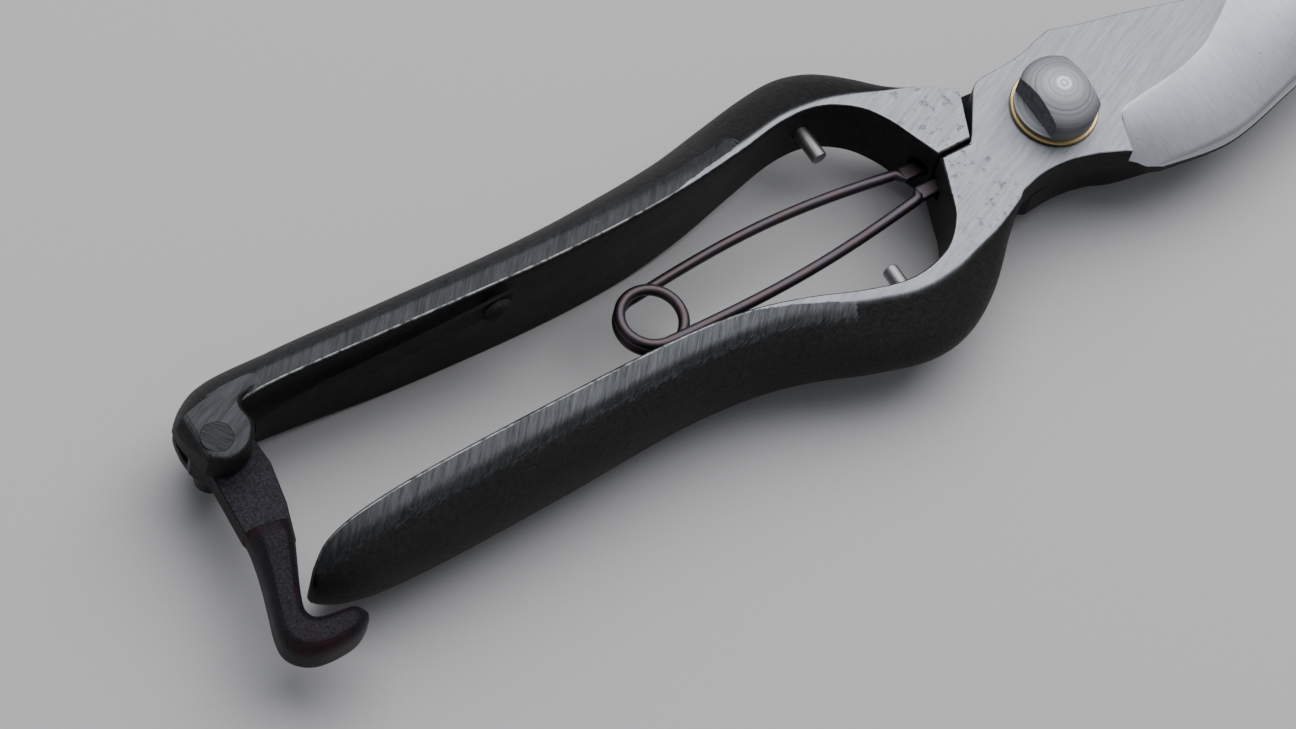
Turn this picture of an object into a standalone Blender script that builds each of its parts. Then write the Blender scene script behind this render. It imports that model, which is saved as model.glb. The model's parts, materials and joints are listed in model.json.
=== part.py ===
"""Floral snips: two forged levers lapped on a pivot bolt, with a V-spring and a swinging tail latch.

Sizes below are millimetres. The origin is on the pivot axis, at the plane the tool rests on. +X runs to the
blade tip, +Y to the upper handle, and +Z to the front of the tool, where the bolt's head is.
"""

import math

import bmesh
import bpy
from mathutils import Matrix, Vector

MM = 0.001

# Driving dimensions
GAP = 0.3  # clearance between neighbouring pieces
PLATE = 5.0  # thickness of each lapped plate at the pivot
LAP_Z = 8.5  # height of the plane the two plates slide on
FRONT_Z = LAP_Z + PLATE
REAR_Z = LAP_Z - PLATE
LAP_RADIUS = 12.4  # each lever is full thickness only outside this radius
STOP_Y = 1.15  # the face where the levers meet when closed
EDGE_RISE = 0.45  # height above the lap plane of the ground cutting edge

SHANK_RADIUS = 3.7
WASHER_RADIUS = 5.7
WASHER_THICK = 0.5
HEAD_RADIUS = 5.3
HEAD_FLAT = 3.5  # distance of each of the head's two flats from the axis
HEAD_LEDGE = 0.5  # height of the round flange left under the flats
HEAD_RIM = 3.5
HEAD_RISE = 1.8  # how far the dome stands above the rim
NUT_HEIGHT = 2.4
NUT_CORNER = 5.6

RIVET = (-116.3, 9.6)  # axis of the latch
RIVET_RADIUS = 2.0
RIVET_WAIST = 1.5  # radius of the rivet where the tang turns on it
RIVET_DEPTH = 3.6  # how far the rivet's rear end lies below the lap plane
FORK_TOP = 7.0  # front face of the fork's ears above the lap plane
FORK_DEPTH = 15.5
# Rear and front faces of the latch's tang and of its lever, above the lap plane
TANG_LOW = -0.8
TANG_TOP = 2.4
LEVER_LOW = -2.2
LEVER_TOP = 3.9
SLOT_GAP = 0.4  # clearance on each side of the tang

WIRE = 0.72  # radius of the V-spring's wire
COIL = (-59.4, 0.9)
COIL_RADIUS = 4.05
COIL_PITCH = 1.62
COIL_TURNS = 1.5
COIL_SPLIT = 333  # angle along the coil, from 90 at its start, where its two halves face each other
COIL_CUT = 7.5  # half the angle left open there, degrees
UPPER_BOW = 1.7  # how far each leg bows outwards
LOWER_BOW = -1.2
FOOT_RISE = 0.4  # the lower foot is this far in front of the lap plane, the upper one behind it
FOOT_REACH = 1.6  # how far each foot runs on into its socket
LEG_STEPS = 9
LOWER_FOOT = (-17.5, -0.4)
UPPER_FOOT = (-17.5, 3.2)
SOCKET_RADIUS = 1.5

PEG_RADIUS = 1.05
UPPER_PEG_X = -28.0
LOWER_PEG_X = -29.3
STUD = (-77.5, 10.3)
STUD_SHANK = 0.9
STUD_RISE = 5.2  # height of the leaf's rivet above the lap plane
LEAF_END_RISE = 0.5  # height of the middle of the leaf's free end above the lap plane
LEAF_HALF = 1.8
LEAF_THICK = 0.5

SMOOTH_STEPS = 3  # stations made between two control stations
OVAL_STEPS = 10
ROUND_STEPS = 32

# One row per control station of a handle:
# inner wall x, y, outer side x, y, width of the flat front band, half depth
LOWER_STATIONS = [
    (-16.9, 1.0, -10.5, -8.4, 11.3, 5.0),
    (-18.3, -2.6, -13.8, -11.2, 8.4, 5.0),
    (-20.2, -6.9, -19.2, -16.0, 4.8, 5.0),
    (-24.0, -10.2, -25.0, -19.3, 2.7, 5.1),
    (-30.0, -11.5, -31.0, -20.2, 1.8, 5.5),
    (-36.5, -10.4, -38.5, -18.3, 1.5, 6.2),
    (-44.0, -8.2, -46.0, -15.3, 1.6, 7.2),
    (-52.5, -6.5, -53.5, -13.4, 2.1, 8.1),
    (-63.0, -5.8, -63.5, -12.7, 2.4, 8.5),
    (-80.0, -5.8, -80.0, -13.5, 2.4, 8.5),
    (-97.0, -6.1, -97.0, -14.0, 2.2, 8.2),
    (-106.5, -6.6, -106.3, -13.8, 2.0, 7.4),
    (-111.4, -7.4, -111.0, -13.1, 1.5, 6.0),
    (-113.9, -8.8, -113.5, -12.1, 0.9, 4.2),
    (-115.0, -10.2, -114.9, -10.9, 0.3, 2.2),
]
UPPER_STATIONS = [
    (-16.9, 1.3, -13.2, 10.9, 10.1, 5.0),
    (-18.2, 4.8, -16.4, 14.4, 7.3, 5.0),
    (-19.6, 8.4, -19.6, 18.0, 4.6, 5.0),
    (-22.0, 11.7, -23.3, 20.8, 2.3, 5.0),
    (-26.2, 14.1, -27.6, 22.0, 0.9, 5.0),
    (-31.5, 14.4, -33.0, 21.6, 0.8, 5.2),
    (-38.5, 13.1, -40.0, 20.3, 0.9, 5.8),
    (-47.0, 11.5, -48.0, 18.7, 1.4, 7.2),
    (-57.0, 10.4, -57.5, 17.7, 2.0, 8.2),
    (-70.0, 10.2, -70.0, 17.1, 2.3, 8.5),
    (-88.0, 11.0, -88.0, 17.7, 2.2, 8.5),
    (-101.0, 12.0, -101.0, 18.5, 2.0, 8.1),
    (-108.0, 12.4, -108.0, 18.4, 2.2, 6.9),
    (-112.0, 12.4, -112.0, 17.4, 2.0, 5.6),
]


def clear_scene():
    for obj in list(bpy.data.objects):
        bpy.data.objects.remove(obj, do_unlink=True)


def material(name, colour, roughness, metallic):
    made = bpy.data.materials.new(name)
    made.use_nodes = True
    shader = made.node_tree.nodes["Principled BSDF"]
    shader.inputs["Base Color"].default_value = (*colour, 1.0)
    shader.inputs["Roughness"].default_value = roughness
    shader.inputs["Metallic"].default_value = metallic
    return made


def polar(centre, radius, degrees):
    angle = math.radians(degrees)
    return (centre[0] + radius * math.cos(angle), centre[1] + radius * math.sin(angle))


def arc(centre, radius, start, end, steps):
    """Points on an arc from one angle to another, both ends included, in degrees."""
    return [polar(centre, radius, start + (end - start) * step / steps) for step in range(steps + 1)]


def spline(a, b, c, d, t):
    """Catmull-Rom value a share t of the way from b to c, with a before them and d after."""
    return b + 0.5 * t * (c - a + t * (2 * a - 5 * b + 4 * c - d + t * (3 * b - a - 3 * c + d)))


def smooth(rows, steps):
    """A Catmull-Rom curve through rows of numbers, with `steps` rows made for each span."""
    made = []
    for index in range(len(rows) - 1):
        before = rows[max(index - 1, 0)]
        after = rows[min(index + 2, len(rows) - 1)]
        here, there = rows[index], rows[index + 1]
        for step in range(steps):
            around = zip(before, here, there, after)
            made.append(tuple(spline(*values, step / steps) for values in around))
    made.append(rows[-1])
    return made


def place(name, mesh, finish, origin):
    """An object from a mesh made in the tool's frame in millimetres, with its own origin on `origin`."""
    mesh.transform(Matrix.Translation(-Vector(origin)))
    mesh.transform(Matrix.Scale(MM, 4))
    obj = bpy.data.objects.new(name, mesh)
    obj.location = Vector(origin) * MM
    mesh.materials.append(finish)
    mesh.shade_smooth()
    mesh.set_sharp_from_angle(angle=math.radians(35))
    bpy.context.scene.collection.objects.link(obj)
    return obj


def closed_mesh(rings):
    """A closed mesh from a row of rings of points, each ring joined to the next and the ends capped."""
    shape = bmesh.new()
    loops = [[shape.verts.new(point) for point in ring] for ring in rings]
    count = len(rings[0])
    for here, there in zip(loops, loops[1:]):
        for i in range(count):
            j = (i + 1) % count
            shape.faces.new((here[i], here[j], there[j], there[i]))
    shape.faces.new(loops[0])
    shape.faces.new(loops[-1])
    bmesh.ops.recalc_face_normals(shape, faces=shape.faces)
    mesh = bpy.data.meshes.new("shape")
    shape.to_mesh(mesh)
    shape.free()
    return mesh


def prism(outline, low, high):
    """The plan outline, extruded from one height to another."""
    return closed_mesh([[(x, y, z) for x, y in outline] for z in (low, high)])


def turned(centre, profile):
    """A round body on a vertical axis, from (radius, height) pairs that start and end off the axis."""
    rings = [
        [(*polar(centre, radius, 360 * step / ROUND_STEPS), height) for step in range(ROUND_STEPS)]
        for radius, height in profile
    ]
    return closed_mesh(rings)


def tube(path, radius, sides, end_scale=1.0):
    """A round bar along a path, with its last ring scaled by `end_scale`."""
    rings = []
    for index, point in enumerate(path):
        before = Vector(path[max(index - 1, 0)])
        after = Vector(path[min(index + 1, len(path) - 1)])
        along = (after - before).normalized()
        side = along.cross(Vector((0, 0, 1))).normalized() if abs(along.z) < 0.9 else Vector((1, 0, 0))
        up = side.cross(along)
        reach = radius * (end_scale if index == len(path) - 1 else 1.0)
        ring = []
        for step in range(sides):
            angle = 2 * math.pi * step / sides
            ring.append(Vector(point) + side * reach * math.cos(angle) + up * reach * math.sin(angle))
        rings.append(ring)
    return closed_mesh(rings)


def combine(obj, name, mesh, operation, bevel=0.0):
    """Joins a shape to an object, or cuts it out, with a Boolean whose helper stays hidden."""
    mesh.transform(Matrix.Scale(MM, 4))
    helper = bpy.data.objects.new(f"{obj.name}_{name}", mesh)
    helper.hide_render = True
    helper.display_type = "WIRE"
    bpy.context.scene.collection.objects.link(helper)
    if bevel:
        soften(helper, bevel)
    modifier = obj.modifiers.new(name, "BOOLEAN")
    modifier.operation = operation
    modifier.object = helper


def soften(obj, width, segments=2):
    modifier = obj.modifiers.new("soften", "BEVEL")
    modifier.width = width * MM
    modifier.segments = segments
    modifier.limit_method = "ANGLE"
    modifier.angle_limit = math.radians(50)


def handle_ring(inner_x, inner_y, outer_x, outer_y, band, half):
    """One section of a handle: a flat inner wall, flat front and rear bands, and an oval outer side."""
    inner = Vector((inner_x, inner_y))
    across = Vector((outer_x, outer_y)) - inner
    width = across.length
    across.normalize()
    band = min(band, width - GAP)
    section = [(0, -half), (0, half)]
    for step in range(OVAL_STEPS + 1):
        angle = math.pi * (0.5 - step / OVAL_STEPS)
        section.append((band + (width - band) * math.cos(angle), half * math.sin(angle)))
    return [(*(inner + across * reach), LAP_Z + rise) for reach, rise in section]


def handle(first, stations):
    """A handle lofted from the face at the neck through its control stations to its tail."""
    return closed_mesh([handle_ring(*first)] + [handle_ring(*row) for row in smooth(stations, SMOOTH_STEPS)])


def blade_outline():
    """The front plate: shoulder, neck and blade, clockwise from the shoulder's inner end."""
    shoulder = [(-14.5, 0.2), (-12.2, 1.0), (-11.4, 1.9), (-7.7, 6.9), (-6.4, 7.9), (-5.4, 8.1)]
    neck_top = [(-2.3, 8.2), (1.1, 8.6), (4.0, 9.4), (6.1, 9.9)]
    spine = smooth([(10.1, 8.8), (17.0, 7.3), (24.2, 5.4), (34.0, 2.6), (45.0, -0.6), (55.0, -3.6)], 2)
    edge = smooth([(47.5, -6.2), (39.5, -8.6), (31.0, -10.9), (20.0, -13.2), (9.5, -12.2)], 3)
    heel = [(7.4, -11.4), (6.3, -10.5), (4.0, -9.2)]
    neck_low = smooth([(1.5, -8.2), (-2.5, -7.2), (-6.5, -7.1), (-10.0, -7.9)], 2)
    return shoulder + neck_top + spine + edge + heel + neck_low + [(-12.6, -8.8), (-14.8, -4.5)]


def grind():
    """What the hollow grind takes off the blade's front, from the shoulder near the neck to past the tip."""
    rows = [
        # x, where the hollow starts, cutting edge, height of the front, lean of the section to the tail
        (7.9, -4.1, -12.0, 5.4, 0.44),
        (20.0, -1.9, -13.5, 5.25, 0.0),
        (31.0, 0.2, -11.2, 4.8, 0.0),
        (44.0, -2.0, -7.4, 3.5, 0.0),
        (57.0, -3.2, -4.0, 2.0, 0.0),
    ]
    rings = []
    for x, hollow_y, edge_y, rise, lean in smooth(rows, 2):
        top = FRONT_Z + 3
        section = [(12, top), (12, LAP_Z + rise), (hollow_y, LAP_Z + rise), (edge_y, LAP_Z + EDGE_RISE)]
        section += [(edge_y - 2, LAP_Z + EDGE_RISE), (edge_y - 2, top)]
        rings.append([(x + lean * min(0.0, y - hollow_y), y, z) for y, z in section])
    return closed_mesh(rings)


def socket(foot):
    """A blind hole in a lever's inner wall for a foot of the V-spring."""
    return tube([(foot[0] - 2.0, foot[1], LAP_Z), (foot[0] + 3.0, foot[1], LAP_Z)], SOCKET_RADIUS, 16)


def peg_bore(x, y_from, y_to):
    return tube([(x, y_from, LAP_Z), (x, y_to, LAP_Z)], PEG_RADIUS + GAP, 16)


def cutting_lever(finish):
    """Front plate with the blade, and the lower handle, forged in one."""
    start = (-12.3, STOP_Y - GAP / 2, -9.6, -7.9, 9.3, PLATE)
    obj = place("cutting_lever", handle(start, LOWER_STATIONS), finish, (0, 0, 0))
    combine(obj, "plate", prism(blade_outline(), LAP_Z + GAP / 2, FRONT_Z), "UNION")
    relief = turned((0, 0), [(LAP_RADIUS, -2), (LAP_RADIUS, LAP_Z + GAP / 2)])
    combine(obj, "relief", relief, "DIFFERENCE")
    combine(obj, "grind", grind(), "DIFFERENCE")
    combine(obj, "bore", turned((0, 0), [(SHANK_RADIUS + GAP, 0), (SHANK_RADIUS + GAP, 20)]), "DIFFERENCE")
    combine(obj, "peg_bore", peg_bore(LOWER_PEG_X, -9.0, -14.5), "DIFFERENCE")
    combine(obj, "socket", socket(LOWER_FOOT), "DIFFERENCE")
    return obj


def hook_outline():
    """The rear plate: neck and hook, from the upper handle round the hook's tip."""
    root = [(-15.0, 1.8)] + arc((0, 0), LAP_RADIUS - 0.5, 173.5, 206, 6)
    neck = [(-7.0, -7.7), (-2.5, -7.3), (2.0, -7.8), (7.0, -9.2)]
    hook = [(20.0, -10.6), (34.0, -7.6), (47.5, -3.9)]
    inner = [(44.0, -2.4), (34.0, -3.4), (24.0, -4.2), (14.5, -2.4), (9.5, 2.0), (6.5, 6.5), (1.5, 8.4)]
    return root + smooth(neck + hook, 3) + smooth(inner, 3) + [(-4.0, 8.8), (-9.5, 9.2), (-14.5, 11.5)]


def fork_outline():
    """Plan of the two ears that carry the latch, at the tail of the upper handle."""
    under = [(-106.0, 12.9), (-110.9, 12.7), (-111.3, 9.4), (-113.2, 6.9), (-116.2, 6.2), (-118.5, 7.6)]
    over = [(-119.2, 10.4), (-118.9, 13.0), (-117.4, 15.6), (-114.2, 17.4), (-106.0, 18.2)]
    return smooth(under, 2) + smooth(over, 2)


def fork_taper():
    """What the tail's rear side loses, so that it rises towards the end like the tip of a bullet."""
    curve = [(-103.0, -9.5), (-108.0, -7.8), (-112.0, -5.8), (-115.5, -4.0), (-118.2, -2.6), (-122.0, -0.6)]
    side = smooth(curve, 2) + [(-122.0, -12.0), (-103.0, -12.0)]
    return closed_mesh([[(x, y, LAP_Z + rise) for x, rise in side] for y in (0.0, 25.0)])


def slot_outline():
    """Space for the latch's tang between the ears, through its whole swing."""
    reach = 6.0
    away = 12.0
    top = polar(RIVET, reach, 72)
    right = polar(RIVET, reach, 12)
    corner = (right[0] + away * math.cos(math.radians(-78)), right[1] + away * math.sin(math.radians(-78)))
    far = (top[0] + away * math.cos(math.radians(162)), top[1] + away * math.sin(math.radians(162)))
    return arc(RIVET, reach, 72, 12, 8) + [corner, (-130.0, corner[1]), (-130.0, far[1]), far]


def counter_lever(finish):
    """Rear plate with the hook, and the upper handle with its stop tab and latch fork, forged in one."""
    start = (-12.1, STOP_Y + GAP / 2, -8.9, 8.4, 7.4, PLATE)
    obj = place("counter_lever", handle(start, UPPER_STATIONS), finish, (0, 0, 0))
    combine(obj, "plate", prism(hook_outline(), REAR_Z, LAP_Z - GAP / 2), "UNION")
    fork_z = LAP_Z + FORK_TOP
    combine(obj, "fork", prism(fork_outline(), fork_z - FORK_DEPTH, fork_z), "UNION", bevel=0.9)
    combine(obj, "taper", fork_taper(), "DIFFERENCE")
    slot = prism(slot_outline(), LAP_Z + TANG_LOW - SLOT_GAP, LAP_Z + TANG_TOP + SLOT_GAP)
    combine(obj, "slot", slot, "DIFFERENCE")
    rivet_bore = RIVET_RADIUS + GAP
    combine(obj, "rivet_bore", turned(RIVET, [(rivet_bore, -2), (rivet_bore, 20)]), "DIFFERENCE")
    combine(obj, "bore", turned((0, 0), [(SHANK_RADIUS + GAP, 0), (SHANK_RADIUS + GAP, 20)]), "DIFFERENCE")
    combine(obj, "peg_bore", peg_bore(UPPER_PEG_X, 12.0, 17.0), "DIFFERENCE")
    combine(obj, "socket", socket(UPPER_FOOT), "DIFFERENCE")
    stud_z = LAP_Z + STUD_RISE
    stud_bore = tube([(STUD[0], 9.0, stud_z), (STUD[0], 14.0, stud_z)], STUD_SHANK + GAP, 16)
    combine(obj, "stud_bore", stud_bore, "DIFFERENCE")
    return obj


def pivot_bolt(finish):
    """Shank, flange and domed head in one, the head with two flats for a spanner."""
    seat = FRONT_Z + WASHER_THICK + GAP
    dome = []
    for step in range(7):
        share = 1 - step / 7
        dome.append((HEAD_RADIUS * share, seat + HEAD_RIM + HEAD_RISE * (1 - share**2)))
    profile = [(SHANK_RADIUS, 0), (SHANK_RADIUS, seat), (HEAD_RADIUS, seat)] + dome
    obj = place("pivot_bolt", turned((0, 0), profile), finish, (0, 0, 0))
    for name, side in (("flat_tip_side", 1), ("flat_tail_side", -1)):
        x_near, x_far = side * HEAD_FLAT, side * 2 * HEAD_RADIUS
        outline = [(x_near, -8), (x_far, -8), (x_far, 8), (x_near, 8)]
        combine(obj, name, prism(outline, seat + HEAD_LEDGE, seat + 10), "DIFFERENCE")
    return obj


def ring_piece(name, centre, inner, outer, low, high, finish):
    """A flat ring, such as a washer."""
    obj = place(name, turned(centre, [(outer, low), (outer, high)]), finish, (*centre, 0))
    combine(obj, "hole", turned(centre, [(inner, low - 1), (inner, high + 1)]), "DIFFERENCE")
    return obj


def pivot_nut(finish):
    """A hexagon nut under the rear plate, flush with the bolt's end."""
    obj = place("pivot_nut", prism(arc((0, 0), NUT_CORNER, 0, 300, 5), 0, NUT_HEIGHT), finish, (0, 0, 0))
    soften(obj, 0.4)
    combine(obj, "hole", turned((0, 0), [(SHANK_RADIUS + 0.2, -1), (SHANK_RADIUS + 0.2, 5)]), "DIFFERENCE")
    return obj


def coil_point(degrees):
    """A point on the coil's helix, which starts at its top at the rear and winds up to the front."""
    turns = (degrees - 90) / 360
    height = LAP_Z + COIL_PITCH * (turns - COIL_TURNS / 2)
    return (*polar(COIL, COIL_RADIUS, degrees), height)


def coil_run(start, end, step=18):
    count = round(abs(end - start) / step)
    return [coil_point(start + (end - start) * i / count) for i in range(count + 1)]


def spring_half(name, foot, leg_bow, leg_height, turns, finish, origin):
    """A spring leg from its foot to the coil, and that leg's share of the turns."""
    start = Vector((*foot, leg_height))
    leg = []
    for step in range(LEG_STEPS):
        t = step / LEG_STEPS
        bow = Vector((0, leg_bow * math.sin(math.pi * t), 0))
        leg.append(start.lerp(Vector(turns[0]), t) + bow)
    tip = start + Vector((FOOT_REACH, 0, 0))
    return place(name, tube([tip] + leg + turns, WIRE, 8), finish, (*origin, LAP_Z))


def v_spring(finish):
    """The bent-wire spring as two rigid halves that face each other inside the coil."""
    upper_turns = coil_run(90, COIL_SPLIT - COIL_CUT)
    lower_turns = coil_run(90 + 360 * COIL_TURNS, COIL_SPLIT + COIL_CUT)
    spring_half("spring_lower_leg", LOWER_FOOT, LOWER_BOW, LAP_Z + FOOT_RISE, lower_turns, finish, LOWER_FOOT)
    spring_half("spring_upper_leg", UPPER_FOOT, UPPER_BOW, LAP_Z - FOOT_RISE, upper_turns, finish, COIL)


def latch(finish):
    """Swinging catch: a flat tang between the ears, and a thicker lever whose nose hooks the lower handle."""
    head = [polar(RIVET, 5.3, angle) for angle in (8, 22)] + arc(RIVET, 3.0, 60, 180, 8)
    root = [(-118.2, 7.2), (-118.5, -1.0), (-118.0, -3.0), (-113.6, -4.5)]
    tang = [(-112.0, 0.2), (-110.9, 5.6)] + head + root
    outer = smooth([(-118.3, -1.4), (-119.0, -5.2), (-121.0, -10.8), (-121.7, -15.0), (-120.2, -17.4)], 2)
    nose = smooth([(-116.4, -18.5), (-113.0, -17.9), (-111.0, -16.2), (-111.4, -15.2)], 2)
    inner = smooth([(-113.9, -14.7), (-116.5, -14.3), (-117.4, -12.9), (-116.9, -10.8), (-114.9, -6.6)], 2)
    lever = outer + nose + inner + [(-112.6, -2.4), (-115.0, -0.6)]
    obj = place("latch", prism(lever, LAP_Z + LEVER_LOW, LAP_Z + LEVER_TOP), finish, (*RIVET, LAP_Z))
    soften(obj, 1.6, 3)
    combine(obj, "tang", prism(tang, LAP_Z + TANG_LOW, LAP_Z + TANG_TOP), "UNION")
    combine(obj, "bore", turned(RIVET, [(RIVET_WAIST + GAP, 0), (RIVET_WAIST + GAP, 20)]), "DIFFERENCE")
    return obj


def latch_rivet(finish):
    """The latch's rivet: full radius in the ears, and narrower where the tang turns on it."""
    waist = (LAP_Z + TANG_LOW - SLOT_GAP / 2, LAP_Z + TANG_TOP + SLOT_GAP / 2)
    profile = [(RIVET_RADIUS, LAP_Z - RIVET_DEPTH), (RIVET_RADIUS, waist[0]), (RIVET_WAIST, waist[0])]
    profile += [(RIVET_WAIST, waist[1]), (RIVET_RADIUS, waist[1]), (RIVET_RADIUS, LAP_Z + FORK_TOP)]
    place("latch_rivet", turned(RIVET, profile), finish, (*RIVET, LAP_Z))


def wall_peg(name, x, base_y, end_y, finish):
    """A short chamfered peg that stands out of a handle's inner wall."""
    chamfer_y = end_y + math.copysign(0.3, base_y - end_y)
    path = [(x, base_y, LAP_Z), (x, chamfer_y, LAP_Z), (x, end_y, LAP_Z)]
    return place(name, tube(path, PEG_RADIUS, 12, end_scale=0.6), finish, (x, base_y, LAP_Z))


def leaf_spring(finish):
    """A flat strip along the upper handle's inner wall, whose free end bears on the latch's tang."""
    line = [(-75.0, 9.9), (-80.0, 10.0), (-90.0, 10.6), (-100.0, 11.3), (-107.5, 11.4), (-110.0, 10.9)]
    rings = []
    for x, y in smooth(line, 3):
        share = max(0.0, (STUD[0] - x) / (STUD[0] - line[-1][0]))
        middle = LAP_Z + STUD_RISE + (LEAF_END_RISE - STUD_RISE) * share
        low, high = middle - LEAF_HALF, middle + LEAF_HALF
        rings.append([(x, y, low), (x, y, high), (x, y - LEAF_THICK, high), (x, y - LEAF_THICK, low)])
    stud_z = LAP_Z + STUD_RISE
    obj = place("latch_leaf_spring", closed_mesh(rings), finish, (*STUD, stud_z))
    hole = tube([(STUD[0], 8.0, stud_z), (STUD[0], 12.0, stud_z)], STUD_SHANK + 0.2, 12)
    combine(obj, "hole", hole, "DIFFERENCE")
    return obj


def leaf_rivet(finish):
    """The round-headed rivet that holds the leaf spring to the wall."""
    head = [(1.9, 0.0), (1.9, 0.3), (1.5, 0.9), (0.7, 1.2)]
    shank = [(STUD_SHANK, -4.0), (STUD_SHANK, 0.0)]
    seat_y = STUD[1] - 1.2
    rings = []
    for radius, rise in shank + head:
        ring = arc((STUD[0], LAP_Z + STUD_RISE), radius, 0, 345, 23)
        rings.append([(x, seat_y - rise, z) for x, z in ring])
    return place("leaf_spring_rivet", closed_mesh(rings), finish, (STUD[0], seat_y, LAP_Z + STUD_RISE))


def main():
    clear_scene()
    forged = material("forged_steel", (0.09, 0.09, 0.09), 0.5, 0.7)
    bright = material("ground_steel", (0.55, 0.56, 0.57), 0.35, 1.0)
    brass = material("brass", (0.70, 0.52, 0.22), 0.35, 1.0)
    tempered = material("tempered_wire", (0.14, 0.10, 0.10), 0.4, 0.9)
    oxide = material("oxide_brown", (0.12, 0.08, 0.09), 0.55, 0.6)

    cutting_lever(forged)
    counter_lever(forged)
    pivot_bolt(bright)
    bore = SHANK_RADIUS + 0.25
    low = FRONT_Z + GAP / 2
    ring_piece("front_washer", (0, 0), bore, WASHER_RADIUS, low, low + WASHER_THICK, brass)
    rear_low = NUT_HEIGHT + GAP / 2
    ring_piece("rear_washer", (0, 0), bore, WASHER_RADIUS, rear_low, rear_low + WASHER_THICK, bright)
    pivot_nut(bright)
    v_spring(tempered)
    latch(oxide)
    latch_rivet(forged)
    wall_peg("upper_peg", UPPER_PEG_X, 16.7, 9.9, bright)
    wall_peg("lower_peg", LOWER_PEG_X, -14.2, -7.2, bright)
    leaf_spring(tempered)
    leaf_rivet(forged)


main()
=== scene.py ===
"""Looks of the floral snips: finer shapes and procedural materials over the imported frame.

Sizes are millimetres in the part's own frame: the pivot axis is at x = y = 0, the lap plane is at LAP_Z, +X
runs to the blade's tip and +Z to the bolt's domed head. Every mesh keeps that frame, and so do the textures.
"""

import json
import math

import bmesh
import bpy
from mathutils import Matrix, Vector

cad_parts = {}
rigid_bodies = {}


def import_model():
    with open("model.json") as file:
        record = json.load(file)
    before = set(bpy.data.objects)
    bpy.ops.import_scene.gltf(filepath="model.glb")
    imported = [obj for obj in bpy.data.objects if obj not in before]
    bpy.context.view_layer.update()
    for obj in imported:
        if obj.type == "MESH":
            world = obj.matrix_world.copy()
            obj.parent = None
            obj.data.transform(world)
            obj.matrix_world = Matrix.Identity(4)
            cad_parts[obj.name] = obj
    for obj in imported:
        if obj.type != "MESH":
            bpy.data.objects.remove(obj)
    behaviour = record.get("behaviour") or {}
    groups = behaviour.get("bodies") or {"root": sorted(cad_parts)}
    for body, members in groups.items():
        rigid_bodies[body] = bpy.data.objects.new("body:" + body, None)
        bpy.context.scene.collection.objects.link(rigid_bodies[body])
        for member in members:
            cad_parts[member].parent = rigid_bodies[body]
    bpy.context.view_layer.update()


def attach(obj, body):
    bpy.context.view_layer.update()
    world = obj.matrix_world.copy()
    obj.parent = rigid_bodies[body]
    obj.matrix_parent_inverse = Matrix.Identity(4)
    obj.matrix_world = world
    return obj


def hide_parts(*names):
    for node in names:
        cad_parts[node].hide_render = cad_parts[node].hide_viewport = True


MM = 0.001

# Driving dimensions, as in the part
GAP = 0.3
PLATE = 5.0
LAP_Z = 8.5
FRONT_Z = LAP_Z + PLATE
REAR_Z = LAP_Z - PLATE
LAP_RADIUS = 12.4
PLATE_EDGE = 0.2  # radius round a plate's outer face
STOP_Y = 1.15
TALL = 20  # a height that clears the whole tool
PIVOT = (0, 0)

EDGE_RISE = 0.45  # height of the cutting edge above the lap plane
KEEN_WIDTH = 0.7  # width of the narrow band ground along the cutting edge
KEEN_START = 6.5  # where the keen band starts at the heel
KEEN_GROWTH = 0.12  # how fast it widens from there
KEEN_SHARE = 0.4  # the most of the hollow's width that it may take
KEEN_RISE = 0.95  # how far it rises from the cutting edge to the hollow
HOLLOW_POWER = 1.5  # power of the curve that the hollow follows down to the keen band
BACK_SLOPE = 0.085  # how steeply the ground back of the blade rises from the hollow to the spine
GRIND_REACH = 12  # how far across the blade the grind's cutter reaches
GRIND_OVERCUT = 2  # how far it reaches past the cutting edge
GRIND_TOP = FRONT_Z + 3

SHANK_RADIUS = 3.7
WASHER_RADIUS = 5.7
WASHER_THICK = 0.5
WASHER_GAP = 0.25
HEAD_RADIUS = 5.3
HEAD_FLAT = 3.5
HEAD_LEDGE = 0.5
HEAD_RIM = 3.5
HEAD_RISE = 1.8
HEAD_CHAMFER = 0.35
SHANK_CHAMFER = 0.3
HEAD_SEAT = FRONT_Z + WASHER_THICK + GAP
NUT_HEIGHT = 2.4
NUT_CORNER = 5.6
NUT_SOFT = 0.6  # radius of the nut's corners

RIVET = (-116.3, 9.6)
RIVET_RADIUS = 2.0
RIVET_WAIST = 1.5
RIVET_DEPTH = 3.6
RIVET_SEAM = 0.02  # the thin line round the rivet's flush end
FORK_TOP = 7.0
FORK_EDGE = 0.9  # radius round the front of the fork
FORK_SHELL_START = 2.0  # where the shell round the fork starts across the tool
REAR_EAR_INSET = 0.9  # how much smaller the rear ear is than the front one
TANG_LOW = -0.8
TANG_TOP = 2.4
LEVER_LOW = -2.2
LEVER_TOP = 3.9
SLOT_GAP = 0.4
SLOT_REACH = 6.0  # distance from the rivet to the slot's curved inner end
SLOT_AWAY = 12.0  # length of the slot's straight sides
SLOT_SIDES = (72, 12)  # angles about the rivet at which the curved end turns into them
SLOT_END_X = -130.0

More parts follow.
